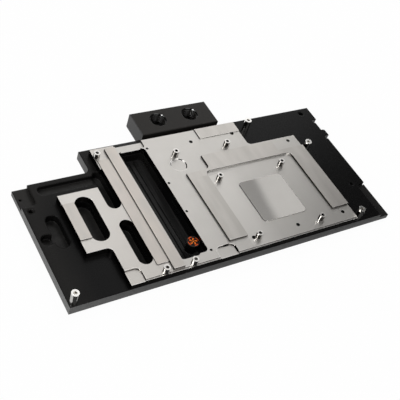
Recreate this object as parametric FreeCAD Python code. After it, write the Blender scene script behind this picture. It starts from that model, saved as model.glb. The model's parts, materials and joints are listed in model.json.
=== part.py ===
import FreeCAD, Part
import os

# A full-cover liquid cooling block for a graphics card, lying on its outer face with the
# contact side up. X runs along the card, Y across it and Z towards the circuit board.
# The origin is the centre of the processor's square of screws, on the block's outer face.
# All sizes are in millimetres, and places are measured from that origin.

# Thicknesses, counted up from the outer face.
cover_thick = 8.6
plate_thick = 5.2
board_height = 18.4
terminal_height = 13.5

# Black cover: a thick plastic slab with a lower arm at its left.
cover_left = -178.1
cover_right = 95.9
cover_near = -38.0
cover_far = 86.9
arm_right = -119.6
arm_far = 65.7
arm_radius = 4.0
rim_chamfer = 1.3

# Tabs on the cover's right edge, with round reliefs in their near corners.
tab_reach = 3.3
far_tab_length = 15.0
small_tab_middle = 55.6
small_tab_length = 7.2
relief_radius = 1.8

# Lowered pads at two corners of the cover. The right one reaches out past the edge.
pad_depth = 3.3
pad_radius = 3.0
left_pad_width = 10.8
left_pad_length = 18.7
right_pad_width = 7.9
right_pad_length = 33.9
right_pad_reach = 1.8

# Clearance pockets in the cover for tall parts of the circuit board.
long_pocket_left = -162.4
long_pocket_near = 54.0
long_pocket_width = 7.9
long_pocket_depth = 3.4
deep_pocket_width = 7.0
deep_pocket_far = 64.5
deep_pocket_depth = 6.4
round_pocket_left = -167.3
round_pocket_width = 9.8
round_pocket_near = 6.6
round_pocket_length = 28.8
round_pocket_depth = 6.0
lobe_x = -171.2
lobe_y = 16.3
lobe_radius = 4.8
lobe_depth = 5.0
pocket_radius = 3.5
window_floor = 1.1
ridge_height = 0.8
ridge_width = 0.6
ridge_pitch = 3.8
ridge_count = 3
ridge_inset = 3.0

# Tapped holes in the cover's top.
shroud_hole_radius = 2.15
shroud_hole_depth = 5.5
shroud_hole_places = [(-173.2, 42.6), (88.6, 81.4)]
side_hole_radius = 1.8
side_hole_place = (83.7, -2.3)
pad_hole_radius = 1.0
pad_hole_inset = 2.8

# Cold plate: nickel-plated copper, stepped on its contact side.
plate_near = -37.5
plate_right = 60.7
plate_far = 81.9
cut_x = 14.7
cut_y = 55.7
cut_radius = 3.5
bar_left = -112.4
bar_right = -94.4
ear_reach = 1.2
ear_near = 61.8
finger_left = -153.3
finger_far = 46.4
finger_near = -5.4
step_x = -135.5
step_radius = 4.0
ledge_width = 1.0
ledge_drop = 0.6

# Openings through the plate.
window_width = 22.8
window_near = -30.2
window_far = 74.1
window_radius = 3.2
window_step = 1.2
window_step_width = 6.4
wide_slot_left = -144.8
wide_slot_width = 13.6
wide_slot_near = 0.9
wide_slot_far = 41.3
narrow_slot_width = 10.4
near_slot_near = -25.9
near_slot_far = 13.6
open_slot_near = 24.6

# Raised and lowered steps on the plate's contact side.
memory_rise = 1.5
memory_left = -52.8
memory_width = 15.7
memory_near = -26.3
memory_shoulder = 39.8
band_left = -31.9
band_right = 35.4
band_near = 38.2
band_far = 54.0
right_leg_left = 44.6
right_leg_near = -23.5
right_leg_far = 42.7
memory_radius = 3.8
far_pad_rise = 0.8
far_pad_left = -22.9
far_pad_near = 71.6
bar_pad_rise = 1.5
bar_pad_width = 8.7
bar_pad_near_margin = 1.8
bar_pad_far_margin = 2.8
bar_strip_rise = 0.6
bar_strip_near = -28.6
bar_strip_far = 70.0
finger_strip_rise = 0.9
finger_strip_near = 5.4
finger_strip_far = 37.6
die_rise = 0.5
die_width = 39.6
die_length = 40.0
die_middle_x = 2.9
die_middle_y = 1.0
die_radius = 3.0
recess_depth = 1.1
corner_recess_width = 10.8
corner_recess_length = 11.5
arch_left = -66.0
arch_width = 15.5
arch_length = 9.4
recess_radius = 4.2
circle_x = -53.3
circle_y = 50.8
circle_radius = 6.4
circle_depth = 0.4
spot_face_radius = 5.4
bridge_drop = 1.2
bridge_reach = 0.9
bridge_length = 6.4
bridge_radius = 2.6

# Fine fins under the processor, and the channels that feed and drain them.
fin_pitch = 1.2
fin_gap = 0.6
fin_depth = 3.0
fin_run_out = 2.5
channel_depth = 5.8
inlet_width = 23.6
dam_width = 5.9
feed_width = 7.0
outlet_width = 25.4
near_drain_width = 3.6
side_dam = 4.8
channel_far = 64.0
channel_margin = 1.3
channel_radius = 2.5

# Seal between the plate and the cover.
seal_left = -61.1
seal_right = 56.4
seal_near = -24.9
seal_far = 46.7
seal_neck_right = 1.0
seal_neck_far = 66.7
seal_radius = 4.5
seal_width = 2.0
seal_depth = 1.5

# Terminal block with its two threaded ports.
terminal_left = -66.2
terminal_width = 69.8
terminal_depth = 24.5
terminal_chamfer = 0.5
port_spacing = 29.2
port_setback = 13.3
port_radius = 6.58
port_chamfer = 0.55
port_thread_length = 9.0
port_bore_radius = 5.0
passage_width = 16.0
passage_height = 3.0
ring_land = 0.6
ring_width = 1.6
ring_depth = 1.2

# Screws: M3 for the plate and the terminal, countersunk M2 beside the window.
screw_radius = 1.5
head_radius = 2.75
head_height = 3.0
head_room = 0.25
head_sink = 0.2
small_screw_radius = 1.0
small_head_radius = 1.9
socket_share = 0.5
thread_clearance = 0.05
tip_below_top = 1.0
mouth_chamfer = 0.25
terminal_screw_margin = 5.0
terminal_screw_grip = 9.5
terminal_screw_sink = 4.0
screw_places = [(-31.7, 70.7), (7.3, 70.7), (51.8, 51.3), (-33.0, -28.7), (7.6, -28.7), (51.8, -28.7)]
small_screw_setback = 1.9
small_screw_rows = [-28.8, 7.7, 35.9, 72.6]

# Standoffs that carry the circuit board.
square_side = 58.42
standoff_radius = 2.4
post_radius = 2.75
standoff_bore_radius = 1.25
standoff_bore_depth = 3.0
stud_radius = 1.5
stud_length = 3.0
post_stud_length = 4.6
stud_room = 0.3
spot_faced_place = (-109.0, -35.0)
plate_standoff_places = [(-111.4, 74.1), (-51.2, 61.0), (-4.8, 60.0), spot_faced_place,
                         (-86.8, -35.0)]
post_places = [(-174.3, -34.2), (26.3, 77.3), (65.4, 42.1), (66.1, -33.7)]

# Round badge on a boss that stands up from the window's floor.
badge_radius = 4.5
badge_thick = 0.8
badge_x = -76.3
badge_y = -16.1
badge_top = 10.4
badge_boss_margin = 0.3

# Sizes that follow from the ones above.
plate_top = cover_thick + plate_thick
above_plate = plate_top + memory_rise + bar_pad_rise
window_right = bar_right + window_width
slot_left = bar_left - narrow_slot_width
channel_floor = cover_thick - channel_depth
passage_low = channel_floor
passage_middle = passage_low + passage_height / 2
terminal_middle = terminal_left + terminal_width / 2
terminal_back = cover_far + terminal_depth
port_y = cover_far + port_setback
port_xs = [terminal_middle - port_spacing / 2, terminal_middle + port_spacing / 2]
terminal_screw_xs = [terminal_left + terminal_screw_margin, terminal_middle,
                     terminal_left + terminal_width - terminal_screw_margin]
die_left = die_middle_x - die_width / 2
die_right = die_middle_x + die_width / 2
die_near = die_middle_y - die_length / 2
die_far = die_middle_y + die_length / 2
half_square = square_side / 2
square_places = [(x, y) for x in (-half_square, half_square) for y in (-half_square, half_square)]
small_screw_places = [(window_right + small_screw_setback, y) for y in small_screw_rows]


def box(x0, x1, y0, y1, z0, z1):
    """A plain block between two corners."""
    return Part.makeBox(x1 - x0, y1 - y0, z1 - z0, FreeCAD.Vector(x0, y0, z0))


def rod(place, z0, z1, radius):
    """An upright round bar."""
    return Part.makeCylinder(radius, z1 - z0, FreeCAD.Vector(place[0], place[1], z0))


def cone(place, z0, z1, radius0, radius1):
    """An upright round taper."""
    base = FreeCAD.Vector(place[0], place[1], z0)
    return Part.makeCone(radius0, radius1, z1 - z0, base)


def rod_along_y(x, y0, y1, z, radius):
    """A round bar along Y."""
    start = FreeCAD.Vector(x, y0, z)
    return Part.makeCylinder(radius, y1 - y0, start, FreeCAD.Vector(0, 1, 0))


def upright_edges(shape, places=None):
    """The straight edges along Z, or only those that stand at the given places."""
    found = []
    for edge in shape.Edges:
        span = edge.BoundBox
        upright = span.ZLength > max(span.XLength, span.YLength) and len(edge.Vertexes) == 2
        if upright and edge.Curve.TypeId == "Part::GeomLine":
            corner = FreeCAD.Vector(span.Center.x, span.Center.y, 0)
            near = [p for p in places or [] if corner.isEqual(FreeCAD.Vector(p[0], p[1], 0), 0.01)]
            if places is None or near:
                found.append(edge)
    return found


def round_corners(shape, radius, places=None):
    """The shape with its upright edges rounded, or only those at the given places."""
    return shape.makeFillet(radius, upright_edges(shape, places))


def rounded_box(x0, x1, y0, y1, z0, z1, radius):
    """A block whose four upright edges are rounded."""
    return round_corners(box(x0, x1, y0, y1, z0, z1), radius)


def prism(points, z0, z1):
    """A straight-walled solid over an outline of corner points."""
    corners = [FreeCAD.Vector(x, y, z0) for x, y in points]
    wire = Part.makePolygon(corners + corners[:1])
    return Part.Face(wire).extrude(FreeCAD.Vector(0, 0, z1 - z0))


def fuse_all(shapes):
    """One solid from several that overlap or touch."""
    return shapes[0].fuse(shapes[1:]).removeSplitter()


def cut_all(body, tools):
    """A body with several pieces taken away."""
    return body.cut(tools).removeSplitter()


def slot(x0, x1, y0, y1, z0, z1):
    """A slot along Y with full round ends."""
    radius = (x1 - x0) / 2
    middle = x0 + radius
    near = rod((middle, y0 + radius), z0, z1, radius)
    far = rod((middle, y1 - radius), z0, z1, radius)
    return fuse_all([box(x0, x1, y0 + radius, y1 - radius, z0, z1), near, far])


def lower_rim(slab):
    """The edges of the slab's outer face, apart from the far one where the terminal meets."""
    found = []
    for edge in slab.Edges:
        span = edge.BoundBox
        if span.ZMax < rim_chamfer / 2 and span.YMin < cover_far - rim_chamfer:
            found.append(edge)
    return found


def cover_slab():
    """The cover's slab with its arm, its rounded inner corner and its chamfered rim."""
    pad_end = cover_near + right_pad_length
    outline = [
        (cover_left, cover_near),
        (cover_right + right_pad_reach, cover_near),
        (cover_right + right_pad_reach, pad_end),
        (cover_right, pad_end),
        (cover_right, cover_far),
        (arm_right, cover_far),
        (arm_right, arm_far),
        (cover_left, arm_far),
    ]
    slab = prism(outline, 0, cover_thick)
    slab = round_corners(slab, arm_radius, [(arm_right, arm_far)])
    return slab.makeChamfer(rim_chamfer, lower_rim(slab))


def cover_tabs():
    """The two tabs that reach out past the cover's right edge."""
    root = cover_right - tab_reach
    tip = cover_right + tab_reach
    far_tab = box(root, tip, cover_far - far_tab_length, cover_far, 0, cover_thick)
    near = small_tab_middle - small_tab_length / 2
    far = small_tab_middle + small_tab_length / 2
    small_tab = box(root, tip, near, far, 0, cover_thick)
    return [far_tab, round_corners(small_tab, relief_radius, [(tip, far)])]


def tab_reliefs():
    """Round cuts into the cover's edge at the near corners of the tabs."""
    roots = [cover_far - far_tab_length, small_tab_middle - small_tab_length / 2]
    return [rod((cover_right, y - relief_radius), 0, cover_thick, relief_radius) for y in roots]


def corner_pads():
    """The space above the cover's two lowered corners."""
    low = cover_thick - pad_depth
    over = 2 * pad_radius
    left = rounded_box(cover_left - over, cover_left + left_pad_width,
                       arm_far - left_pad_length, arm_far + over, low, cover_thick, pad_radius)
    right = rounded_box(cover_right - right_pad_width, cover_right + over,
                        cover_near - over, cover_near + right_pad_length,
                        low, cover_thick, pad_radius)
    return [left, right]


def arm_pockets():
    """Pockets in the cover round the plate's finger."""
    long_pocket = rounded_box(long_pocket_left, bar_left - pocket_radius, long_pocket_near,
                              long_pocket_near + long_pocket_width,
                              cover_thick - long_pocket_depth, cover_thick, pocket_radius)
    deep_low = cover_thick - deep_pocket_depth
    deep_pocket = rounded_box(bar_left - deep_pocket_width, bar_left, open_slot_near + pocket_radius,
                              deep_pocket_far, deep_low, cover_thick, pocket_radius * 0.99)
    under_slot = slot(slot_left, bar_left, open_slot_near, finger_far, deep_low, cover_thick)
    round_pocket = slot(round_pocket_left, round_pocket_left + round_pocket_width,
                        round_pocket_near, round_pocket_near + round_pocket_length,
                        cover_thick - round_pocket_depth, cover_thick)
    lobe = rod((lobe_x, lobe_y), cover_thick - lobe_depth, cover_thick, lobe_radius)
    return [long_pocket, deep_pocket, under_slot, round_pocket, lobe]


def slot_pockets():
    """Pockets in the cover below the plate's two closed slots."""
    low = cover_thick - deep_pocket_depth
    return [wide_slot(low, cover_thick), near_slot(low, cover_thick)]


def window_pocket():
    """The deep pocket below the window, round the ridges on its floor."""
    pocket = window_shape(window_floor, cover_thick)
    middle = window_right - window_width / 2
    first = middle - (ridge_count - 1) * ridge_pitch / 2
    ridges = []
    for number in range(ridge_count):
        x = first + number * ridge_pitch
        ridges.append(box(x - ridge_width / 2, x + ridge_width / 2, window_near + ridge_inset,
                          window_far - ridge_inset, window_floor, window_floor + ridge_height))
    return pocket.cut(ridges)


def badge_boss():
    """The round boss that lifts the badge into the window."""
    return rod((badge_x, badge_y), window_floor, badge_top - badge_thick,
               badge_radius - badge_boss_margin)


def tapped_holes():
    """Blind tapped holes in the cover's top, for the shroud and the board."""
    low = cover_thick - shroud_hole_depth
    holes = []
    for place in shroud_hole_places:
        holes.append(rod(place, low, cover_thick, shroud_hole_radius))
        holes.append(cone(place, cover_thick - mouth_chamfer, cover_thick, shroud_hole_radius,
                          shroud_hole_radius + mouth_chamfer))
    holes.append(rod(side_hole_place, low, cover_thick, side_hole_radius))
    pad_place = (cover_left + pad_hole_inset, arm_far - left_pad_length / 2)
    holes.append(rod(pad_place, low - pad_depth / 2, cover_thick, pad_hole_radius))
    return holes


def channel(x0, x1, y0, y1):
    """One stretch of the water's channels in the cover."""
    return rounded_box(x0, x1, y0, y1, channel_floor, cover_thick, channel_radius)


def water_channels():
    """The inlet, the feed across the fins' middle, and the drains round the fins."""
    inner = seal_width / 2 + channel_margin
    left = seal_left + inner
    near = seal_near + inner
    right = seal_right - inner
    far = seal_far - inner
    inlet_right = left + inlet_width
    outlet_left = inlet_right + dam_width
    feed_left = inlet_right - 2 * channel_radius
    feed_near = die_middle_y - feed_width / 2
    return [
        channel(left, inlet_right, near, channel_far),
        channel(feed_left, die_right, feed_near, feed_near + feed_width),
        channel(outlet_left, outlet_left + outlet_width, die_far, channel_far),
        channel(outlet_left, right, die_far, far),
        channel(die_right + side_dam, right, near, far),
        rounded_box(outlet_left, right, near, near + near_drain_width, channel_floor,
                    cover_thick, near_drain_width / 3),
    ]


def port_passages():
    """Flat passages from the channels to the cover's far edge."""
    near = channel_far - channel_radius
    half = passage_width / 2
    return [box(x - half, x + half, near, cover_far, passage_low, passage_low + passage_height)
            for x in port_xs]


def seal_block(grow):
    """The region inside the seal's centre line, made larger or smaller."""
    left, right = seal_left - grow, seal_right + grow
    near, far = seal_near - grow, seal_far + grow
    neck_right, neck_far = seal_neck_right + grow, seal_neck_far + grow
    outer = [(left, near), (right, near), (right, far), (neck_right, neck_far), (left, neck_far)]
    outline = outer[:3] + [(neck_right, far)] + outer[3:]
    block = prism(outline, cover_thick - seal_depth, cover_thick)
    block = round_corners(block, seal_radius - grow, [(neck_right, far)])
    return round_corners(block, seal_radius + grow, outer)


def seal_ring():
    """A band on the seal's line, as deep as its groove."""
    return seal_block(seal_width / 2).cut(seal_block(-seal_width / 2))


def head_bores():
    """Clearance holes and head pockets, open at the cover's outer face."""
    bores = []
    for place in screw_places:
        bores.append(rod(place, 0, cover_thick, screw_radius + thread_clearance))
        bores.append(rod(place, 0, head_height + head_sink, head_radius + head_room))
    for place in small_screw_places:
        bores.append(rod(place, 0, cover_thick, small_screw_radius + thread_clearance))
        depth = small_head_radius - small_screw_radius
        bores.append(cone(place, 0, depth, small_head_radius + thread_clearance,
                          small_screw_radius + thread_clearance))
    return bores


def cover():
    """The black cover with its pockets, channels, groove and holes."""
    body = fuse_all([cover_slab()] + cover_tabs())
    tools = corner_pads() + arm_pockets() + slot_pockets() + tapped_holes() + tab_reliefs()
    tools += [window_pocket(), fuse_all(water_channels()), seal_ring()]
    tools += port_passages() + head_bores()
    for x in terminal_screw_xs:
        tools.append(rod_along_y(x, cover_far - terminal_screw_grip - stud_room, cover_far,
                                 passage_middle, screw_radius + thread_clearance))
    for place in post_places:
        tools.append(rod(place, cover_thick - post_stud_length - stud_room, cover_thick,
                         stud_radius + thread_clearance))
    return fuse_all([cut_all(body, tools), badge_boss()])


def wide_slot(z0, z1):
    """The wide slot in the plate's finger."""
    return slot(wide_slot_left, wide_slot_left + wide_slot_width, wide_slot_near, wide_slot_far, z0, z1)


def near_slot(z0, z1):
    """The narrow slot beside the bar, near the front edge."""
    return slot(slot_left, bar_left, near_slot_near, near_slot_far, z0, z1)


def open_slot(z0, z1):
    """The narrow slot that opens past the finger's far edge."""
    return slot(slot_left, bar_left, open_slot_near, finger_far + narrow_slot_width, z0, z1)


def window_shape(z0, z1):
    """The large window, whose near right corner steps back round a screw."""
    near_part = rounded_box(bar_right, window_right - window_step_width, window_near,
                            window_far - window_step, z0, z1, window_radius)
    main = rounded_box(bar_right, window_right, window_near + window_step, window_far, z0, z1,
                       window_radius)
    return fuse_all([near_part, main])


def plate_slab():
    """The plate's outline at its base thickness."""
    outline = [
        (step_x, plate_near),
        (plate_right, plate_near),
        (plate_right, cut_y),
        (cut_x, cut_y),
        (cut_x, plate_far),
        (bar_left - ear_reach, plate_far),
        (bar_left - ear_reach, ear_near),
        (bar_left, ear_near),
        (bar_left, finger_far),
        (finger_left, finger_far),
        (finger_left, finger_near),
        (step_x, finger_near),
    ]
    slab = prism(outline, cover_thick, plate_top)
    slab = round_corners(slab, cut_radius, [(cut_x, cut_y)])
    return round_corners(slab, step_radius, [(step_x, finger_near)])


def raised(x0, x1, y0, y1, rise):
    """A rectangular pad that stands above the plate's base surface."""
    return box(x0, x1, y0, y1, cover_thick, plate_top + rise)


def memory_pads():
    """The raised horseshoe round the processor that touches the memory."""
    leg_right = memory_left + memory_width
    pads = fuse_all([
        raised(memory_left, leg_right, memory_near, memory_shoulder, memory_rise),
        raised(leg_right, band_left, band_near, memory_shoulder, memory_rise),
        raised(band_left, band_right, band_near, band_far, memory_rise),
        raised(band_right, plate_right, band_near, right_leg_far, memory_rise),
        raised(right_leg_left, plate_right, right_leg_near, right_leg_far, memory_rise),
    ])
    pads = round_corners(pads, memory_radius, [(leg_right, band_near), (right_leg_left, band_near)])
    return round_corners(pads, memory_radius, [(band_left, memory_shoulder)])


def bar_pads():
    """The two long steps of the bar, cleared round the standoff at its near end."""
    step_x0 = bar_right - bar_pad_width
    pad = raised(step_x0, bar_right, plate_near + bar_pad_near_margin,
                 plate_far - bar_pad_far_margin, bar_pad_rise)
    strip = raised(bar_left, step_x0, bar_strip_near, bar_strip_far, bar_strip_rise)
    spot_face = rod(spot_faced_place, plate_top, above_plate, spot_face_radius)
    return [pad.cut(spot_face), strip.cut(spot_face)]


def raised_pads():
    """All pads that stand above the plate's base surface."""
    far_pad = raised(far_pad_left, cut_x, far_pad_near, plate_far, far_pad_rise)
    finger_strip = raised(finger_left, wide_slot_left, finger_strip_near, finger_strip_far,
                          finger_strip_rise)
    die_pad = rounded_box(die_left, die_right, die_near, die_far, cover_thick,
                          plate_top + die_rise, die_radius)
    return [memory_pads(), far_pad, finger_strip, die_pad] + bar_pads()


def recesses():
    """The lowered places in the plate's contact side and along its edges."""
    low = plate_top - recess_depth
    over = 2 * recess_radius
    corner = rounded_box(step_x - over, step_x + corner_recess_width, plate_near - over,
                         plate_near + corner_recess_length, low, above_plate, recess_radius)
    arch = rounded_box(arch_left, arch_left + arch_width, plate_near - over,
                       plate_near + arch_length, low, above_plate, recess_radius)
    circle = rod((circle_x, circle_y), plate_top - circle_depth, above_plate, circle_radius)
    ledge = box(step_x, plate_right, plate_near, plate_near + ledge_width,
                plate_top - ledge_drop, above_plate)
    return [corner, arch, circle, ledge] + bridge_cuts()


def bridge_cuts():
    """The lowered bridge that closes the window's far end, set back from the plate's edge."""
    right = window_right + bridge_reach
    bridge_far = window_far + bridge_length
    notch = box(bar_right, right, bridge_far, plate_far, cover_thick, above_plate)
    strip = box(bar_right, right, window_far, plate_far, plate_top - bridge_drop, above_plate)
    return [notch, round_corners(strip, bridge_radius, [(right, window_far)])]


def fin_gaps():
    """The narrow grooves that leave the fins standing in the plate's wet side."""
    count = int((die_width - fin_gap) / fin_pitch) + 1
    first = die_middle_x - (count - 1) * fin_pitch / 2
    near = die_near - fin_run_out
    far = die_far + fin_run_out
    top = cover_thick + fin_depth
    gaps = []
    for number in range(count):
        x = first + number * fin_pitch
        gaps.append(box(x - fin_gap / 2, x + fin_gap / 2, near, far, cover_thick, top))
    return gaps


def cold_plate():
    """The stepped plate with its fins, window, slots and tapped holes."""
    body = fuse_all([plate_slab()] + raised_pads())
    tools = recesses()
    for opening in (window_shape, wide_slot, near_slot, open_slot):
        tools.append(opening(cover_thick, above_plate))
    for place in screw_places:
        tools.append(rod(place, cover_thick, plate_top, screw_radius + thread_clearance))
    for place in small_screw_places:
        tools.append(rod(place, cover_thick, plate_top, small_screw_radius + thread_clearance))
    for place in square_places + plate_standoff_places:
        tools.append(rod(place, plate_top - stud_length - stud_room, plate_top,
                         stud_radius + thread_clearance))
    return cut_all(cut_all(body, tools), fin_gaps())


def hexagon(place, across, z0, z1):
    """A six-sided socket."""
    corner = FreeCAD.Vector(across / 2, 0, 0)
    axis = FreeCAD.Vector(0, 0, 1)
    points = []
    for number in range(6):
        turned = FreeCAD.Rotation(axis, 60 * number).multVec(corner)
        points.append((place[0] + turned.x, place[1] + turned.y))
    return prism(points, z0, z1)


def plate_screws():
    """The six larger screws that pull the plate onto the seal."""
    screws = []
    for place in screw_places:
        head = rod(place, head_sink, head_height + head_sink, head_radius)
        shank = rod(place, head_height + head_sink, plate_top - tip_below_top, screw_radius)
        socket = hexagon(place, 2 * head_radius * socket_share, head_sink,
                         head_sink + head_height * socket_share)
        screws.append(head.fuse(shank).cut(socket))
    return screws


def window_screws():
    """The four small countersunk screws in a row beside the window."""
    head_depth = small_head_radius + thread_clearance - small_screw_radius
    screws = []
    for place in small_screw_places:
        head = cone(place, 0, head_depth, small_head_radius + thread_clearance, small_screw_radius)
        shank = rod(place, head_depth, plate_top - tip_below_top, small_screw_radius)
        socket = hexagon(place, 2 * small_head_radius * socket_share, 0, head_depth * socket_share)
        screws.append(head.fuse(shank).cut(socket))
    return screws


def standoff(place, base, radius, stud):
    """A round standoff with a stud below and a tapped hole in its top."""
    body = rod(place, base, board_height, radius)
    body = body.fuse(rod(place, base - stud, base, stud_radius))
    bore = rod(place, board_height - standoff_bore_depth, board_height, standoff_bore_radius)
    return body.cut(bore)


def square_standoffs():
    """The four standoffs round the processor."""
    return [standoff(place, plate_top, standoff_radius, stud_length) for place in square_places]


def plate_standoffs():
    """The five other standoffs on the plate."""
    return [standoff(place, plate_top, standoff_radius, stud_length) for place in plate_standoff_places]


def cover_posts():
    """The four taller standoffs that stand on the cover."""
    return [standoff(place, cover_thick, post_radius, post_stud_length) for place in post_places]


def oval_along_y(x, half_length, half_height, y1):
    """A flat round-ended bar along Y that starts at the cover's far edge."""
    low = passage_middle - half_height
    high = passage_middle + half_height
    bar = box(x - half_length + half_height, x + half_length - half_height, cover_far, y1, low, high)
    left = rod_along_y(x - half_length + half_height, cover_far, y1, passage_middle, half_height)
    right = rod_along_y(x + half_length - half_height, cover_far, y1, passage_middle, half_height)
    return fuse_all([bar, left, right])


def port_rings():
    """The rings round both passages, sunk in the terminal's inner face."""
    inner_x = passage_width / 2 + ring_land
    inner_z = passage_height / 2 + ring_land
    end = cover_far + ring_depth
    rings = []
    for x in port_xs:
        outer = oval_along_y(x, inner_x + ring_width, inner_z + ring_width, end)
        rings.append(outer.cut(oval_along_y(x, inner_x, inner_z, end)))
    return rings


def port_bores():
    """The threaded ports with their passages to the terminal's inner face."""
    tools = []
    thread_low = terminal_height - port_thread_length
    half = passage_width / 2
    for x in port_xs:
        place = (x, port_y)
        tools.append(rod(place, thread_low, terminal_height, port_radius))
        tools.append(rod(place, passage_low, thread_low, port_bore_radius))
        tools.append(cone(place, terminal_height - port_chamfer, terminal_height, port_radius,
                          port_radius + port_chamfer))
        tools.append(box(x - half, x + half, cover_far, port_y, passage_low,
                         passage_low + passage_height))
    return tools


def terminal_block():
    """The block that carries the two threaded ports."""
    body = box(terminal_left, terminal_left + terminal_width, cover_far, terminal_back,
               0, terminal_height)
    top_edges = [edge for edge in body.Edges if edge.BoundBox.ZMin > terminal_height / 2]
    body = body.makeChamfer(terminal_chamfer, top_edges)
    tools = port_bores() + port_rings()
    for x in terminal_screw_xs:
        tools.append(rod_along_y(x, cover_far, terminal_back, passage_middle,
                                 screw_radius + thread_clearance))
        tools.append(rod_along_y(x, terminal_back - terminal_screw_sink, terminal_back,
                                 passage_middle, head_radius + head_room))
    return cut_all(body, tools)


def terminal_screws():
    """Long screws that pass through the terminal into the cover's edge."""
    seat = terminal_back - terminal_screw_sink
    end = seat + head_height
    screws = []
    for x in terminal_screw_xs:
        shank = rod_along_y(x, cover_far - terminal_screw_grip, seat, passage_middle, screw_radius)
        head = rod_along_y(x, seat, end, passage_middle, head_radius)
        socket = hexagon((x, -passage_middle), 2 * head_radius * socket_share,
                         end - head_height * socket_share, end)
        socket.rotate(FreeCAD.Vector(0, 0, 0), FreeCAD.Vector(1, 0, 0), -90)
        screws.append(shank.fuse(head).cut(socket))
    return screws


def badge():
    """The thin round disc on the boss in the window."""
    return rod((badge_x, badge_y), badge_top - badge_thick, badge_top, badge_radius)


def export(name, shape):
    """Writes one piece, or one group of like pieces, to its own file."""
    whole = Part.makeCompound(shape) if isinstance(shape, list) else shape
    whole.exportStep("parts/" + name + ".step")


os.makedirs("parts", exist_ok=True)
export("cover", cover())
export("cold_plate", cold_plate())
export("terminal_block", terminal_block())
export("plate_seal", seal_ring())
export("port_seals", port_rings())
export("plate_screws", plate_screws())
export("window_screws", window_screws())
export("terminal_screws", terminal_screws())
export("square_standoffs", square_standoffs())
export("plate_standoffs", plate_standoffs())
export("cover_posts", cover_posts())
export("badge", badge())
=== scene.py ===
import json
import math

import bpy
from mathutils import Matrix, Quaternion, Vector


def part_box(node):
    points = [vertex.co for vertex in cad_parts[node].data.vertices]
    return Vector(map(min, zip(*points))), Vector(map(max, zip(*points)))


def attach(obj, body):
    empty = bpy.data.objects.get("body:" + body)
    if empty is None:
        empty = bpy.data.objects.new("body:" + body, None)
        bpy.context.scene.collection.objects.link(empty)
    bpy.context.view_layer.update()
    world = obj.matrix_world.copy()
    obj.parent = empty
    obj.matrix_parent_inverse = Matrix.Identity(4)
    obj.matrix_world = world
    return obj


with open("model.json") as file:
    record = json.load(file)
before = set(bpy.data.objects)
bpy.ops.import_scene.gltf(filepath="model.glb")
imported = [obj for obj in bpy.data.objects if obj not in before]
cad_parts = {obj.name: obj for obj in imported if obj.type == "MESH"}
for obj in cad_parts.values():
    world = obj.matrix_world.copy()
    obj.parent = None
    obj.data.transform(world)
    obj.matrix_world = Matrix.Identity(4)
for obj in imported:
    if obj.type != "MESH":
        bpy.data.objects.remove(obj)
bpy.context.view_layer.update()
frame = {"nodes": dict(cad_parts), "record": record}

# The cover is the block's outer half: one slab of black acetal, milled on its top and
# sawn and faced on its edges, with pockets that clear the tall parts of a circuit board.
# Its edges are painted a lighter grey than its top, as painted light.


class Signal:
    """A socket of a material's node tree. Sums on signals add Math nodes."""

    def __init__(self, tree, socket):
        self.tree = tree
        self.socket = socket

    def node(self, kind, settings=None, values=None, output=0):
        """Any other node: its type, its settings, and the values or links of its sockets."""
        made = self.tree.nodes.new("ShaderNode" + kind)
        for name, setting in (settings or {}).items():
            if name == "stops":
                ramp = made.color_ramp.elements
                ramp.remove(ramp[1])
                ramp[0].position, ramp[0].color = setting[0]
                for position, colour in setting[1:]:
                    ramp.new(position).color = colour
            else:
                setattr(made, name, setting)
        for name, value in (values or {}).items():
            if isinstance(value, Signal):
                self.tree.links.new(value.socket, made.inputs[name])
            else:
                made.inputs[name].default_value = value
        return Signal(self.tree, made.outputs[output])

    def maths(self, operation, first, second=0.0):
        """A Math node on one or two numbers."""
        return self.node("Math", {"operation": operation}, {0: first, 1: second})

    def __add__(self, other):
        return self.maths("ADD", self, other)

    __radd__ = __add__

    def __sub__(self, other):
        return self.maths("SUBTRACT", self, other)

    def __rsub__(self, other):
        return self.maths("SUBTRACT", other, self)

    def __mul__(self, other):
        return self.maths("MULTIPLY", self, other)

    __rmul__ = __mul__

    def __gt__(self, other):
        return self.maths("GREATER_THAN", self, other)

    def __lt__(self, other):
        return self.maths("LESS_THAN", self, other)

    def __abs__(self):
        return self.maths("ABSOLUTE", self)

    def axis(self, name):
        """One of a vector's three parts."""
        return self.node("SeparateXYZ", {}, {0: self}, name)

    def held(self):
        """The number kept between 0 and 1."""
        return self.node("Clamp", {}, {0: self})

    def within(self, low, high):
        """1 where the number lies between two others, 0 elsewhere."""
        return (self > low) * (self < high)

    def fade(self, start, slope):
        """0 up to a start, then a soft rise to 1 with the given slope. It may run downwards."""
        return ((self - start) * slope).held()

    def graded(self, tones):
        """Greys that follow the number, from pairs of a place and a level."""
        stops = [(at, (level, level, level, 1)) for at, level in tones]
        return self.node("ValToRGB", {"stops": stops}, {0: self})

    def blend(self, first, second):
        """A colour between two others, by this number."""
        return self.node("Mix", {"data_type": "RGBA"}, {0: self, 6: first, 7: second}, 2)


def finish_of(name, **constants):
    """A new material with its shader's constants set, and signals for place and surface."""
    material = bpy.data.materials.new(name)
    material.use_nodes = True
    shader = material.node_tree.nodes["Principled BSDF"]
    for socket, value in constants.items():
        shader.inputs[socket.replace("_", " ")].default_value = value
    start = Signal(material.node_tree, None)
    place = start.node("TexCoord", output="Object")
    facing = start.node("NewGeometry", output="Normal")
    return material, shader, place, facing


def noise(place, size, detail=3.0, stretch=(1.0, 1.0, 1.0)):
    """Cloudy variation from 0 to 1, whose patches are about the given size in metres."""
    scaled = place.node("VectorMath", {"operation": "MULTIPLY"},
                        {0: place, 1: tuple(s / size for s in stretch)})
    return scaled.node("TexNoise", {}, {"Vector": scaled, "Scale": 1.0, "Detail": detail,
                                        "Roughness": 0.55})


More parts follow.
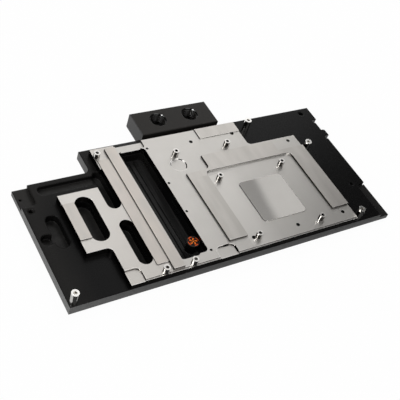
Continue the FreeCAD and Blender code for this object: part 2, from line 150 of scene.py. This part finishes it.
def tool_marks(place, direction, profile, scale, distortion, detail_scale=1.0):
    """Fine parallel lines, from 0 to 1, that a cutter or a brush leaves."""
    return place.node("TexWave", {"wave_type": "BANDS", "bands_direction": direction,
                                  "wave_profile": profile},
                      {"Vector": place, "Scale": scale, "Distortion": distortion,
                       "Detail": 2.0, "Detail Scale": detail_scale}, "Fac")


def eased_edge(place, radius):
    """The surface's direction, turned at edges as if they were slightly broken."""
    return place.node("Bevel", {"samples": 6}, {"Radius": radius})


def relief(height, depth, normal):
    """A normal that stands for a fine relief of the given depth in metres."""
    return height.node("Bump", {}, {"Strength": 1.0, "Distance": depth, "Height": height,
                                    "Normal": normal})


def connect(shader, **signals):
    """Feeds signals into a shader's sockets."""
    for name, signal in signals.items():
        signal.tree.links.new(signal.socket, shader.inputs[name.replace("_", " ")])


def dress(node, material):
    """Gives a CAD node its finish."""
    for slot in frame["nodes"][node].material_slots:
        slot.material = material


TOP_BLACK = (0.0022, 0.0021, 0.0020, 1.0)
POCKET_BLACK = (0.0030, 0.0030, 0.0031, 1.0)
GREYER_BLACK = (0.0120, 0.0113, 0.0106, 1.0)
STREAK_GREY = (0.0350, 0.0345, 0.0340, 1.0)
PIT_LIT_GREY = (0.0460, 0.0446, 0.0430, 1.0)
EDGE_FRONT_LIT = (0.088, 0.088, 0.087, 1.0)
EDGE_LEFT_LIT = (0.176, 0.176, 0.174, 1.0)

# How near a face counts as part of it, and where the cover's outline and floors lie.
SKIN = 0.0003
ARM_RIGHT, ARM_FAR = -0.1196, 0.0657
RIGHT_EDGE = 0.0959
ABOVE_OUTER_FACE = 0.0005
PIT_FLOORS = 0.0060
DEEPEST_FLOORS = 0.0026
POCKET_FLOORS = 0.0100
WINDOW = (-0.0942, -0.0716)
WINDOW_FLOORS = 0.0095
WINDOW_SIDE = (-0.0735, -0.0700)
ROUND_POCKET_RIGHT, ROUND_POCKET_FAR = -0.1500, 0.0400
cover_low, cover_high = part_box("cover")

acetal, shader, place, facing = finish_of("black_acetal", Specular_IOR_Level=0.105, IOR=1.48)
x, y, z = (place.axis(name) for name in "XYZ")
cloud = noise(place, 0.030)
haze = noise(place, 0.006)
grain = noise(place, 0.0007, 2.0)
passes = tool_marks(place, "Y", "TRI", 1400.0, 0.6, 0.4)

# The sawn edges are the walls that lie in the outline.
wall = abs(facing.axis("Z")) < 0.5
outline = (x < cover_low.x + SKIN) + (y < cover_low.y + SKIN) + (x > RIGHT_EDGE - SKIN)
outline = outline + (y > ARM_FAR - SKIN) * (x < ARM_RIGHT + SKIN)
sawn = wall * outline.held()

# The top is a little greyer towards the far side and at the left end, and in cloudy patches.
top = z > cover_high.z - 0.0001
black = top.blend(POCKET_BLACK, TOP_BLACK)
greyer_part = y.fade(0.035, 30.0) * x.fade(0.0, -70.0) + x.fade(-0.155, -60.0)
black = (cloud * 0.15 + greyer_part * 0.75).held().blend(black, GREYER_BLACK)

# The window's floor shows long streaks of the cutter, and the pits' floors are greyed by painted
# light.
window_floor = x.within(*WINDOW) * z.within(ABOVE_OUTER_FACE, WINDOW_FLOORS) * (1 - wall)
streaks = noise(place, 0.0016, 2.0, (1.0, 0.03, 0.0))
streaked = window_floor * (0.48 + streaks.fade(0.44, 5.0) * 0.52)
black = streaked.blend(black, STREAK_GREY)
# Painted light greys the pits' floors, and painted shade keeps the floors above the deepest ones
# and the round pocket darker.
pit_floor = z.within(ABOVE_OUTER_FACE, PIT_FLOORS) * (1 - wall) * (1 - window_floor)
in_round_pocket = (x < ROUND_POCKET_RIGHT) * (y < ROUND_POCKET_FAR)
shaded_floors = (z > DEEPEST_FLOORS) * 0.66 + in_round_pocket * 0.50
lit_floor = pit_floor * (1 - shaded_floors) * (0.35 + haze * 0.9)
black = lit_floor.held().blend(black, PIT_LIT_GREY)

# Painted light: the sawn edges are painted grey, lighter on the ends than on the front and back,
# lighter towards the left end and darker towards the far side.
edge_light = (abs(facing.axis("X")) > 0.5).blend(EDGE_FRONT_LIT, EDGE_LEFT_LIT)
edge_light = x.fade(-0.10, -9.0).blend(edge_light, EDGE_LEFT_LIT)
edge_light = (y.fade(0.045, 40.0) * 0.55).blend(edge_light, EDGE_FRONT_LIT)
colour = (sawn * (0.85 + grain * 0.3)).blend(black, edge_light)
polished = (z < POCKET_FLOORS) * (1 - sawn)
rough = 0.30 + cloud * 0.08 + grain * 0.06 + sawn * 0.12 - polished * 0.10

# Rims of the pockets are broken more than the outline, and so catch a softer light.
in_pocket = z.within(0.0002, cover_high.z - 0.0004) * (1 - sawn) * (1 - x.within(*WINDOW_SIDE))
edges = in_pocket.node("Mix", {"data_type": "VECTOR"},
                       {0: in_pocket, 4: eased_edge(place, 0.00025),
                        5: eased_edge(place, 0.0016)}, 1)
normal = relief(passes * 0.5 + grain, 0.000012, edges)
connect(shader, Base_Color=colour, Roughness=rough, Normal=normal)
dress("cover", acetal)

# The terminal is a second block of acetal, bolted to the cover's far edge. Its two ports
# are threaded for fittings, and the thread's turns stand inside their bores.

TERMINAL_BLACK = (0.0150, 0.0135, 0.0120, 1.0)
TERMINAL_WORN = (0.0210, 0.0188, 0.0170, 1.0)
TERMINAL_SIDE_LIT = (0.060, 0.060, 0.060, 1.0)
BORE_SHADE = (0.0015, 0.0015, 0.0015, 1.0)
CHAMFER = (0.00650, 0.00716)
ABOVE_BORE_FLOOR = 0.0040
ports = [Vector(mount["pos_m"]) for mount in frame["record"]["mounts"]
         if mount["name"].startswith("port")]


def reach_from(x, y, centre_x, centre_y):
    """The distance in plan from a centre."""
    return x.maths("SQRT", (x - centre_x) * (x - centre_x) + (y - centre_y) * (y - centre_y))


terminal_black, shader, place, facing = finish_of("terminal_acetal", Specular_IOR_Level=0.19,
                                                  IOR=1.48, Coat_Roughness=0.12)
x, y, z = (place.axis(name) for name in "XYZ")
cloud = noise(place, 0.020)
grain = noise(place, 0.0006, 2.0)
colour = (cloud * 0.4).blend(TERMINAL_BLACK, TERMINAL_WORN)
# Painted light: the faces that look along X are painted a lighter grey.
colour = (abs(facing.axis("X")) > 0.5).blend(colour, TERMINAL_SIDE_LIT)
in_bore = on_chamfer = 0
for port in ports:
    reach = reach_from(x, y, port.x, port.y)
    in_bore = (reach < CHAMFER[1]) * (z > ABOVE_BORE_FLOOR) + in_bore
    on_chamfer = reach.within(*CHAMFER) * (z > ABOVE_BORE_FLOOR) + on_chamfer
in_bore = in_bore.held()
# Painted shade: the ports' bores and chamfers are painted near black.
colour = (in_bore * 0.95).blend(colour, BORE_SHADE)
rough = (0.40 + cloud * 0.1 + grain * 0.05) * (1 - in_bore * 0.75)
connect(shader, Base_Color=colour, Roughness=rough, Coat_Weight=on_chamfer.held(),
        Normal=relief(grain, 0.00001, eased_edge(place, 0.00030)))
dress("terminal_block", terminal_black)

thread_black, shader, place, facing = finish_of("cut_thread", Specular_IOR_Level=0.5)
grain = noise(place, 0.0005, 2.0)
connect(shader, Base_Color=grain.blend((0.010, 0.0095, 0.009, 1), (0.030, 0.028, 0.026, 1)),
        Roughness=0.14 + grain * 0.1)


def thread_tree():
    """Geometry Nodes that wind one thread at every point of a mesh."""
    tree = bpy.data.node_groups.new("thread_turns", "GeometryNodeTree")
    face = tree.interface
    face.new_socket("Geometry", in_out="INPUT", socket_type="NodeSocketGeometry")
    for name in ("Radius", "Pitch", "Turns", "Crest"):
        face.new_socket(name, in_out="INPUT", socket_type="NodeSocketFloat")
    face.new_socket("Material", in_out="INPUT", socket_type="NodeSocketMaterial")
    face.new_socket("Geometry", in_out="OUTPUT", socket_type="NodeSocketGeometry")
    nodes, links = tree.nodes, tree.links
    ins = nodes.new("NodeGroupInput").outputs
    out = nodes.new("NodeGroupOutput")
    height = nodes.new("ShaderNodeMath")
    height.operation = "MULTIPLY"
    links.new(ins["Pitch"], height.inputs[0])
    links.new(ins["Turns"], height.inputs[1])
    spiral = nodes.new("GeometryNodeCurveSpiral")
    spiral.inputs["Resolution"].default_value = 28
    links.new(ins["Turns"], spiral.inputs["Rotations"])
    links.new(ins["Radius"], spiral.inputs["Start Radius"])
    links.new(ins["Radius"], spiral.inputs["End Radius"])
    links.new(height.outputs[0], spiral.inputs["Height"])
    ridge = nodes.new("GeometryNodeCurvePrimitiveCircle")
    ridge.inputs["Resolution"].default_value = 6
    links.new(ins["Crest"], ridge.inputs["Radius"])
    sweep = nodes.new("GeometryNodeCurveToMesh")
    sweep.inputs["Fill Caps"].default_value = True
    links.new(spiral.outputs[0], sweep.inputs["Curve"])
    links.new(ridge.outputs[0], sweep.inputs["Profile Curve"])
    smooth = nodes.new("GeometryNodeSetShadeSmooth")
    links.new(sweep.outputs[0], smooth.inputs["Geometry"])
    spread = nodes.new("GeometryNodeInstanceOnPoints")
    links.new(ins["Geometry"], spread.inputs["Points"])
    links.new(smooth.outputs[0], spread.inputs["Instance"])
    real = nodes.new("GeometryNodeRealizeInstances")
    links.new(spread.outputs[0], real.inputs[0])
    paint = nodes.new("GeometryNodeSetMaterial")
    links.new(real.outputs[0], paint.inputs["Geometry"])
    links.new(ins["Material"], paint.inputs["Material"])
    links.new(paint.outputs[0], out.inputs[0])
    return tree


turns = thread_tree()


def thread(name, places, material, slot, **sizes):
    """Threads inside the bores whose thread starts at the given places."""
    mesh = bpy.data.meshes.new(name)
    mesh.from_pydata(places, [], [])
    piece = bpy.data.objects.new(name, mesh)
    bpy.context.collection.objects.link(piece)
    modifier = piece.modifiers.new("turns", "NODES")
    modifier.node_group = turns
    sizes["Material"] = material
    for item in turns.interface.items_tree:
        if item.in_out == "INPUT" and item.name in sizes:
            modifier[item.identifier] = sizes[item.name]
    shown = piece.evaluated_get(bpy.context.evaluated_depsgraph_get())
    plain = bpy.data.meshes.new_from_object(shown)
    piece.modifiers.clear()
    piece.data = plain
    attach(piece, "root")


THREAD_DEPTH = Vector((0, 0, 0.0079))
thread("port_threads", [port - THREAD_DEPTH for port in ports], thread_black, "terminal",
       Radius=0.00650, Pitch=0.001337, Turns=5.6, Crest=0.00046)

# The seals are black rubber cords squeezed into their grooves, out of sight between the
# cover, the plate and the terminal.

rubber, shader, place, facing = finish_of("seal_rubber", Specular_IOR_Level=0.4)
cloud = noise(place, 0.004)
colour = cloud.blend((0.012, 0.012, 0.012, 1), (0.020, 0.020, 0.021, 1))
connect(shader, Base_Color=colour, Roughness=0.55 + cloud * 0.15)
dress("plate_seal", rubber)
dress("port_seals", rubber)

# The cold plate is milled from copper and plated with nickel. Its faces have a satin,
# finely lined finish, its raised pads are a little warmer, and the pad that meets the
# processor is polished like a mirror.

NICKEL = (0.660, 0.640, 0.610, 1.0)
NICKEL_WARM = (0.650, 0.595, 0.545, 1.0)
NICKEL_LIT = (0.770, 0.745, 0.710, 1.0)
NICKEL_DULL = (0.540, 0.518, 0.485, 1.0)
NICKEL_PAINTED_DARK = (0.050, 0.046, 0.042, 1.0)
NICKEL_FRONT_REFLECTION = (0.110, 0.102, 0.095, 1.0)
NICKEL_HIGHLIGHT = (0.970, 0.955, 0.930, 1.0)
NICKEL_ARC_SHADE = (0.012, 0.011, 0.010, 1.0)
NICKEL_HOLE_SHADE = (0.010, 0.009, 0.008, 1.0)

# Heights of the plate's flat top, of its raised parts and of what lies above the wet side.
BASE_TOP = 0.0138
RAISED = BASE_TOP + 0.0003
ABOVE_WET_SIDE = 0.0120
BAND_TOP = 0.0146

# Places of the parts left of the window, of the legs' far ends and of the band's wall.
LEFT_PART_END = -0.0940
EAR_LEFT = -0.1180
LEGS_FAR = 0.0340
BAND_LEFT, BAND_NEAR = -0.0500, 0.0350

# The pad's centre and half width, the leg's left edge, width and the tones of its painted
# reflection from left to right.
die = next(Vector(mount["pos_m"]) for mount in frame["record"]["mounts"]
           if mount["name"] == "die_contact")
DIE_HALF = 0.0202
LEG_LEFT, LEG_WIDTH = -0.0528, 0.0157
LEG_REFLECTION_TONES = ((0.0, 0.45), (0.38, 0.0), (0.60, 0.25), (0.75, 1.0), (1.0, 0.85))

# The shallow circle with its rim and the tones of its painted highlight and shade, the arch and
# the corner recess, and the arch's painted shade strips.
CIRCLE = (-0.0533, 0.0508)
RIM_BURNISHED, RIM_LIT, RIM_DARK = (0.0050, 0.0073), (0.0054, 0.0068), (0.0058, 0.0066)
ARC_SHADE_TONES = ((0.0, 0.0), (0.355, 0.0), (0.37, 1.0), (0.525, 1.0), (0.535, 0.0), (0.585, 0.0),
             (0.595, 1.0), (0.675, 1.0), (0.685, 0.0), (0.890, 0.0), (0.90, 1.0), (0.970, 1.0),
             (0.98, 0.0))
ARCH, ARCH_FAR = (-0.0669, -0.0496), -0.0272
CORNER, CORNER_FAR = (-0.1360, -0.1239), -0.0252
ARCH_SHADE_STRIPS = (((-0.0514, -0.0502), (-0.0355, -0.0306)), ((-0.0590, -0.0545), (-0.0288, -0.0278)))
plate_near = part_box("cold_plate")[0].y + 0.0002

nickel, shader, place, facing = finish_of("nickel_plate", Metallic=1.0)
x, y, z = (place.axis(name) for name in "XYZ")
wall = abs(facing.axis("Z")) < 0.5
faces_near = facing.axis("Y") < -0.6
on_die = (abs(x - die.x) < DIE_HALF) * (abs(y - die.y) < DIE_HALF) * (z > BASE_TOP + 0.0002)
raised = (z > RAISED) * (1 - on_die)
cloud = noise(place, 0.045, 2.0)
haze = noise(place, 0.012)
rubbed = noise(place, 0.009, 2.0, (1.0, 0.22, 1.0))
grain = noise(place, 0.0006, 2.0)
scratch = noise(place, 0.0009, 2.0, (0.04, 1.0, 1.0))
lines = tool_marks(place, "Y", "SIN", 900.0, 1.2, 0.3)

# Broad tones: warmer on the raised parts, duller in rubbed patches and towards the near ends of
# the bars. The bands of tone across the leg are a painted reflection, as if it were slightly
# convex, and painted light makes the far left and the plate beside the pad paler.
left_part = x.fade(LEFT_PART_END, -400.0)
warm = left_part * (raised * 0.7 + 0.3) + (1 - left_part) * raised * 0.25
colour = (warm * (0.6 + cloud * 0.8)).held().blend(NICKEL, NICKEL_WARM)
near_bar = left_part * raised * y.fade(0.010, -12.0) * (x > EAR_LEFT)
mottled = haze * 0.30 + grain * 0.18 + raised * (rubbed - 0.38) * 1.8 + near_bar * 0.35
colour = mottled.held().blend(colour, NICKEL_DULL)
# Painted reflection: bands of tone across the leg.
across_leg = (x - LEG_LEFT) * (1 / LEG_WIDTH)
on_leg = raised * across_leg.within(0, 1) * (y < LEGS_FAR)
colour = (on_leg * across_leg.held().graded(LEG_REFLECTION_TONES) * 0.9).blend(colour, NICKEL_DULL)
# Painted light: the far left and the plate beside the pad are painted paler.
far_left_light = x.fade(-0.10, -22.0) * y.fade(-0.05, 14.0) * (1 - raised * 0.7)
light_by_pad = (x > LEG_LEFT + LEG_WIDTH) * x.fade(-0.0100, -70.0) * (y < LEGS_FAR) * 0.45
colour = (far_left_light * 0.7 + light_by_pad).held().blend(colour, NICKEL_LIT)

# The rims that face the near side carry a painted highlight, and painted shade darkens the foot
# of each step. The shallow recesses keep their rims burnished.
from_circle = reach_from(x, y, *CIRCLE)
shallow = from_circle.within(*RIM_BURNISHED)
shallow = shallow + x.within(*ARCH) * y.within(plate_near, ARCH_FAR)
shallow = shallow + x.within(*CORNER) * y.within(plate_near, CORNER_FAR)
shallow = shallow.held()
burnished = shallow * ((eased_edge(place, 0.0010).axis("Z") < 0.985) + wall).held()
wider = eased_edge(place, 0.00050)
occlusion = place.node("AmbientOcclusion", {"samples": 8}, {"Distance": 0.0012}, "AO")
hollow = occlusion.fade(0.97, -9.0)
# Painted highlight: the rims that face the near side are painted near white.
near_rim_highlight = (wider.axis("Y") < -0.14) * (1 - wall) * (1 - hollow)
colour = (near_rim_highlight * 0.85).blend(colour, NICKEL_HIGHLIGHT)
# Painted shade: a dark band at the foot of each step, where occlusion is high.
under_wall = ((wider.axis("Y") < -0.3) + (wider.axis("X") < -0.3)).held()
step_foot_shade = (wider.axis("Z") < 0.985) * (1 - wall) * hollow * (1 - shallow * (1 - under_wall))
colour = (step_foot_shade * 0.85).blend(colour, NICKEL_PAINTED_DARK)

# The steps' walls are painted dark as a painted reflection of the dark side of the room, a
# little lighter where they face the near side, and two that face the light carry a painted
# highlight.
wall_reflection = faces_near.blend(NICKEL_PAINTED_DARK, NICKEL_FRONT_REFLECTION)
die_edge = die.y - DIE_HALF
die_wall = y.within(die_edge - 0.0006, die_edge + 0.0006) * (abs(x - die.x) < DIE_HALF)
die_wall = die_wall * (z > BASE_TOP)
band_wall = (y > BAND_NEAR) * (x > BAND_LEFT) * (z < BAND_TOP)
wall_reflection = (faces_near * (die_wall + band_wall)).held().blend(wall_reflection, NICKEL_HIGHLIGHT)
colour = wall.blend(colour, wall_reflection)

# Round the shallow circle painted highlight and painted shade make bright and dark arcs on the
# recess's rim, and painted shade makes dark strips at the arch.
about = x.maths("ARCTAN2", y - CIRCLE[1], x - CIRCLE[0]) * (0.5 / math.pi) + 0.5
lit_arc_highlight = about.within(0.50, 0.95) * from_circle.within(*RIM_LIT) * (z > ABOVE_WET_SIDE)
colour = (lit_arc_highlight * 0.7).blend(colour, NICKEL_HIGHLIGHT)
dark_arc_shade = from_circle.within(*RIM_DARK) * (z > ABOVE_WET_SIDE) * about.graded(ARC_SHADE_TONES)
for across, along in ARCH_SHADE_STRIPS:
    dark_arc_shade = dark_arc_shade + x.within(*across) * y.within(*along)
colour = dark_arc_shade.held().blend(colour, NICKEL_ARC_SHADE)
# Painted shade: the plate's holes and deep hollows are painted dark where occlusion is high.
colour = (occlusion * 2.6 - 0.30).held().blend(NICKEL_HOLE_SHADE, colour)

flat = (1 - on_die) * (1 - wall) * (1 - burnished)
rough = 0.05 + wall * 0.05 + flat * (0.34 + haze * 0.05 + grain * 0.04)
waves = cloud * 10.0 + (lines * 0.06 + scratch * 0.10) * flat
connect(shader, Base_Color=colour, Roughness=rough,
        Normal=relief(waves, 0.000006, eased_edge(place, 0.00018)))
dress("cold_plate", nickel)

# The screws come in from the outer face and end just below the plate's surface, where
# the dark tapped holes show. They are blackened steel with hexagon sockets.

black_steel, shader, place, facing = finish_of("black_oxide_steel", Metallic=0.85)
grain = noise(place, 0.0004, 2.0)
haze = noise(place, 0.003)
colour = haze.blend((0.012, 0.011, 0.010, 1), (0.030, 0.028, 0.026, 1))
connect(shader, Base_Color=colour, Roughness=0.34 + grain * 0.14,
        Normal=relief(grain, 0.000006, eased_edge(place, 0.00015)))
for group in ("plate_screws", "window_screws", "terminal_screws"):
    dress(group, black_steel)

# The standoffs are turned from brass and plated bright, with a tapped hole in the top for a
# board screw. A small bright bar would show hard light and dark streaks along its length; here
# they are a painted reflection.

PLATING_BRIGHT = (0.95, 0.94, 0.91, 1.0)
PLATING_HAZY = (0.84, 0.82, 0.79, 1.0)
PLATING_TOP_SHADE = (0.80, 0.78, 0.75, 1.0)
PLATING_BORE_SHADE = (0.30, 0.285, 0.265, 1.0)
PLATING_REFLECTED_DARK = (0.02, 0.018, 0.016, 1.0)

# Two standoffs stand beyond this place, by the window's near end, and get painted light: their
# painted dark streaks are weaker.
WINDOW_END = (-0.080, -0.031)

# Painted reflection: how bright a bar is painted round its turn, counted from the block's right
# side.
REFLECTION_STREAKS = ((0.0, 0.0), (0.03, 0.0), (0.045, 1.0), (0.11, 1.0), (0.13, 0.0), (0.236, 0.0),
           (0.256, 1.0), (0.335, 1.0), (0.355, 0.0), (0.518, 0.0), (0.524, 1.0), (0.566, 1.0),
           (0.574, 0.0), (0.735, 0.0), (0.745, 1.0), (0.855, 1.0), (0.87, 0.4), (0.94, 0.4),
           (0.96, 0.0))


def bright_metal(name, top_roughness, streaked):
    """Bright plating on turned parts, with or without painted reflection streaks round them."""
    bright, shader, place, facing = finish_of(name, Metallic=1.0)
    rings = tool_marks(place, "Z", "SIN", 1600.0, 0.3)
    haze = noise(place, 0.002)
    level = facing.axis("Z") > 0.9
    open_sky = place.node("AmbientOcclusion", {"samples": 6}, {"Distance": 0.0022}, "AO")
    colour = haze.blend(PLATING_BRIGHT, PLATING_HAZY)
    # Painted shade: on streaked bars the level tops are painted a little darker.
    if streaked:
        colour = level.blend(colour, PLATING_TOP_SHADE)
    # Painted shade: where occlusion is high, in the bores above all, the plating is painted
    # dark.
    colour = open_sky.fade(0.225, 2.0).blend(PLATING_BORE_SHADE, colour)
    if streaked:
        # Painted reflection: dark streaks round the bar, by the direction of its surface.
        turn = facing.maths("ARCTAN2", facing.axis("Y"), facing.axis("X")) * (0.5 / math.pi)
        turn = turn + (turn < 0)
        dark = (abs(facing.axis("Z")) < 0.5) * (1 - turn.graded(REFLECTION_STREAKS))
        lit_by_window = (place.axis("X") < WINDOW_END[0]) * (place.axis("Y") < WINDOW_END[1])
        dark = dark * (1 - lit_by_window * (turn > 0.53) * 0.6)
        colour = (dark * 0.98).blend(colour, PLATING_REFLECTED_DARK)
    connect(shader, Base_Color=colour, Roughness=0.05 + haze * 0.06 + level * top_roughness,
            Normal=relief(rings + haze, 0.000003, eased_edge(place, 0.00018)))
    return bright


streaked = bright_metal("standoff_painted_streaks", 0.28, True)
dress("square_standoffs", streaked)
dress("plate_standoffs", streaked)
dress("cover_posts", bright_metal("bright_post", 0.18, False))

# An insert with a thread of blackened steel sits in a small hole of the cover's left end.
# It takes a screw of the shroud.

INSERT_FLOOR = (-0.1732, 0.0426, 0.0060)
thread("insert_thread", [INSERT_FLOOR], black_steel, "standoff",
       Radius=0.00205, Pitch=0.0008, Turns=3.6, Crest=0.00018)

# A round badge lies on a boss in the window. It is an enamelled disc: black, with a plain
# pattern of orange arcs and curved strokes, and a bright narrow rim.

ENAMEL_BLACK = (0.006, 0.004, 0.004, 1.0)
ENAMEL_ORANGE = (1.0, 0.27, 0.015, 1.0)
ENAMEL_RED = (0.62, 0.045, 0.003, 1.0)
BADGE_RIM = (0.06, 0.05, 0.04, 1.0)
badge_low, badge_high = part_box("badge")
badge_centre = (badge_low + badge_high) / 2
badge_radius = (badge_high.x - badge_low.x) / 2

badge_paint, shader, place, facing = finish_of("badge_enamel", Specular_IOR_Level=0.12)
x, y = place.axis("X") - badge_centre.x, place.axis("Y") - badge_centre.y
reach = reach_from(x, y, 0, 0) * (1 / badge_radius)
turn = x.maths("ARCTAN2", y, x)
arcs = x.maths("SINE", turn * 4.0 + 0.6) > 0.0
strokes = x.maths("SINE", turn * 5.0 + reach * (900.0 * badge_radius)) > 0.25
inked = reach.within(0.76, 0.92) * arcs + reach.within(0.24, 0.64) * strokes
inked = (inked + reach.within(0, 0.12)).held()
wear = noise(place, 0.0006)
colour = (inked * (0.75 + wear * 0.4)).held().blend(ENAMEL_BLACK,
                                                    reach.blend(ENAMEL_ORANGE, ENAMEL_RED))
colour = (reach > 0.95).blend(colour, BADGE_RIM)
connect(shader, Base_Color=colour, Roughness=0.30 + wear * 0.15,
        Normal=relief(inked, 0.00006, eased_edge(place, 0.0001)))
dress("badge", badge_paint)

# The studio has a pale floor, which keeps the block's soft shadow, and a white surround. The
# camera and the mirrors see both as plain white.

FLOOR_GREY = (0.82, 0.82, 0.82, 1.0)
WHITE = (1.0, 1.0, 1.0, 1.0)
SURROUND_LIGHT = 0.45


def stage_sheet(name, centre, facing_to, width, height, material):
    """A flat sheet of the studio that faces a point."""
    away = (Vector(facing_to) - Vector(centre)).normalized()
    turned = away.to_track_quat("Z", "Y")
    corners = [(-width / 2, -height / 2), (width / 2, -height / 2), (width / 2, height / 2),
               (-width / 2, height / 2)]
    mesh = bpy.data.meshes.new(name)
    mesh.from_pydata([Vector(centre) + turned @ Vector((u, v, 0)) for u, v in corners],
                     [], [(0, 1, 2, 3)])
    sheet = bpy.data.objects.new(name, mesh)
    mesh.materials.append(material)
    bpy.context.collection.objects.link(sheet)
    return sheet


def seen_directly(start):
    """1 for rays from the camera and for those that a mirror or glass sends on."""
    path = start.node("LightPath", output="Is Camera Ray")
    glossy = start.node("LightPath", output="Is Glossy Ray")
    through = start.node("LightPath", output="Is Transmission Ray")
    return (path + glossy + through).held()


floor_paint, shader, place, facing = finish_of("pale_floor", Base_Color=FLOOR_GREY)
connect(shader, Roughness=0.75 + noise(place, 0.5) * 0.1)
glow = place.node("Emission", {}, {"Color": WHITE, "Strength": 1.0})
lit = Signal(place.tree, shader.outputs[0])
mixed = place.node("MixShader", {}, {0: seen_directly(place) * 0.97, 1: lit, 2: glow})
place.tree.links.new(mixed.socket, place.tree.nodes["Material Output"].inputs["Surface"])
stage_sheet("floor", (0, 0, -0.0001), (0, 0, 1), 12, 12, floor_paint)

world = bpy.data.worlds.new("studio")
bpy.context.scene.world = world
world.use_nodes = True
air = Signal(world.node_tree, None)
backdrop = world.node_tree.nodes["Background"]
backdrop.inputs["Color"].default_value = WHITE
connect(backdrop, Strength=SURROUND_LIGHT + seen_directly(air) * (1 - SURROUND_LIGHT))

# The metal mirrors a tent all round: three bright walls with dark gaps between them, one of
# them where the camera stands. Only mirrors see it.

BLACK = (0.0, 0.0, 0.0, 1.0)
TENT_REACH = 1.15
TENT_PANELS = 72
TENT_RISE = (4, 86)

# Brightness of the tent's wall by its bearing in degrees, counted from the right side.
TENT = ((-180, 1.0), (-173, 1.0), (-168, 0.01), (-120, 0.01), (-114, 0.80), (-50, 0.80),
        (-44, 0.03), (20, 0.02), (35, 0.02), (38, 0.55), (50, 0.58), (70, 0.555), (93, 0.555),
        (98, 0.005), (153, 0.005), (158, 1.0), (180, 1.0))


def glowing_paint(name, strength):
    """The paint of a card that gives light of its own and reflects none."""
    return finish_of(name + "_paint", Roughness=1.0, Base_Color=BLACK, Emission_Color=WHITE,
                     Emission_Strength=strength)


def only_mirrored(sheet):
    """Hides a sheet from everything but mirrors."""
    for sight in ("camera", "diffuse", "shadow", "transmission"):
        setattr(sheet, "visible_" + sight, False)


tent_paint, shader, place, facing = glowing_paint("tent", 2.0)
bearing = place.maths("ARCTAN2", place.axis("Y"), place.axis("X")) * (0.5 / math.pi) + 0.5
tones = [(degrees / 360 + 0.5, level) for degrees, level in TENT]
connect(shader, Emission_Color=bearing.graded(tones))

corners = []
for panel in range(TENT_PANELS):
    for rise in map(math.radians, TENT_RISE):
        around = math.tau * panel / TENT_PANELS
        corners.append((TENT_REACH * math.cos(rise) * math.cos(around),
                        TENT_REACH * math.cos(rise) * math.sin(around),
                        TENT_REACH * math.sin(rise)))
count = len(corners)
mesh = bpy.data.meshes.new("tent")
mesh.from_pydata(corners, [], [(n, n + 1, (n + 3) % count, (n + 2) % count)
                               for n in range(0, count, 2)])
mesh.materials.append(tent_paint)
tent = bpy.data.objects.new("tent", mesh)
bpy.context.collection.objects.link(tent)
only_mirrored(tent)

# Two dim sheets that only mirrors see are painted shade: they stand for the floor's shade close
# to the block, in front and at the left end, for the block's walls to mirror. A small strong
# soft box to the left makes the glints on rims and threads.

near_shade = stage_sheet("near_shade", (0.0, -0.141, -0.00005), (0.0, -0.141, 1), 0.6, 0.2,
                         glowing_paint("near_shade", 0.02)[0])
left_shade = stage_sheet("left_shade", (-0.228, 0.1, -0.00005), (-0.228, 0.1, 1), 0.1, 0.282,
                         glowing_paint("left_shade", 0.50)[0])
left_box = stage_sheet("left_box", (-0.509, -0.072, 0.613), (0, 0, 0), 0.17, 0.17,
                       glowing_paint("left_box", 24.0)[0])

# One card hangs where the polished pad mirrors it. Its left part is a darker grey, with a
# soft and slightly slanted edge.

CARD_DARK = (0.38, 0.38, 0.38, 1.0)
CARD_LIGHT = (0.75, 0.75, 0.75, 1.0)
CARD_CENTRE = Vector((0.412, 0.33, 0.50))
CARD_SLANT, CARD_EDGE = 0.14, 0.3905

card_paint, shader, place, facing = glowing_paint("die_card", 1.0)
across = place.axis("X") - (place.axis("Y") - CARD_CENTRE.y) * CARD_SLANT
connect(shader, Emission_Color=across.fade(CARD_EDGE, 75.0).blend(CARD_DARK, CARD_LIGHT))
below_card = (CARD_CENTRE.x, CARD_CENTRE.y, 0)
die_card = stage_sheet("die_card", CARD_CENTRE, below_card, 0.115, 0.115, card_paint)
for sheet in (near_shade, left_shade, left_box, die_card):
    only_mirrored(sheet)

# Two square soft boxes light the block itself. Mirrors don't see them.


def lamp(name, centre, target, width, power):
    """A square soft box that faces a point."""
    light = bpy.data.lights.new(name, "AREA")
    light.size = width
    light.energy = power
    box = bpy.data.objects.new(name, light)
    away = Vector(target) - Vector(centre)
    box.location = centre
    box.rotation_mode = "QUATERNION"
    box.rotation_quaternion = away.to_track_quat("-Z", "Y")
    box.visible_glossy = False
    bpy.context.collection.objects.link(box)


lamp("key", (0.9, 0.8, 1.5), (0, 0, 0), 1.0, 14)
lamp("left_fill", (-1.2, -0.3, 0.8), (0, 0, 0), 0.8, 8)

# The camera stands off the near left corner and looks down at about half a right angle, a
# little rolled, as in the photograph.

AZIMUTH = math.radians(45.3787)
SLOPE = math.radians(-45.3680)
ROLL = math.radians(21.1516)
lens = bpy.data.cameras.new("camera")
lens.sensor_fit = "HORIZONTAL"
lens.sensor_width = 36.0
lens.lens = 68.249
lens.clip_start = 0.01
lens.clip_end = 30.0
camera = bpy.data.objects.new("camera", lens)
sight = Vector((math.cos(SLOPE) * math.cos(AZIMUTH), math.cos(SLOPE) * math.sin(AZIMUTH),
                math.sin(SLOPE)))
camera.location = (-0.328319, -0.262884, 0.408410)
camera.rotation_mode = "QUATERNION"
camera.rotation_quaternion = Quaternion(sight, -ROLL) @ sight.to_track_quat("-Z", "Y")
bpy.context.collection.objects.link(camera)
bpy.context.scene.camera = camera
bpy.context.scene.view_settings.view_transform = "Standard"
